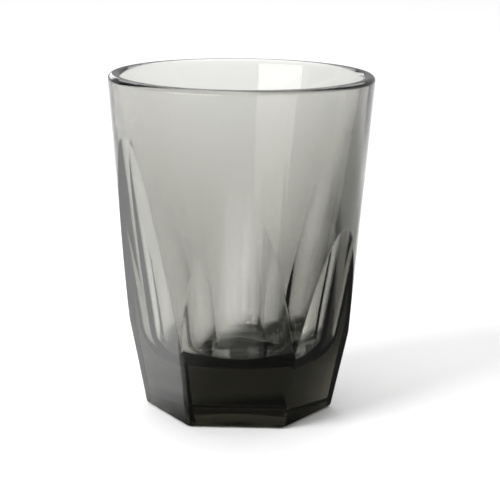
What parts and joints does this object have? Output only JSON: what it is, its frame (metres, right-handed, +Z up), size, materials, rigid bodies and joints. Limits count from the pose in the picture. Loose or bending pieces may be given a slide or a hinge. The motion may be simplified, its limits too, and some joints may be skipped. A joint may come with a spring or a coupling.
{
  "type": "faceted drinking tumbler",
  "caption": "Tapered drinking tumbler in clear smoke-grey glass, with a softly rounded lip, a conical bowl, tall flat facets and a thick solid hexagonal foot.",
  "frame": {"origin": "centre of the hexagonal foot, on the plane the tumbler stands on", "axes": "+Z up along the bowl's axis to the open mouth; -Y is the outward direction of the front flat; corners of the foot lie towards +X and -X"},
  "size_m": [0.085, 0.085, 0.109],
  "materials": {
    "smoke_glass": "fire-polished, transparent, tinted smoke grey through its whole thickness"
  },
  "bodies": {
    "root": {"tumbler_glass": "smoke_glass"}
  },
  "joints": []
}
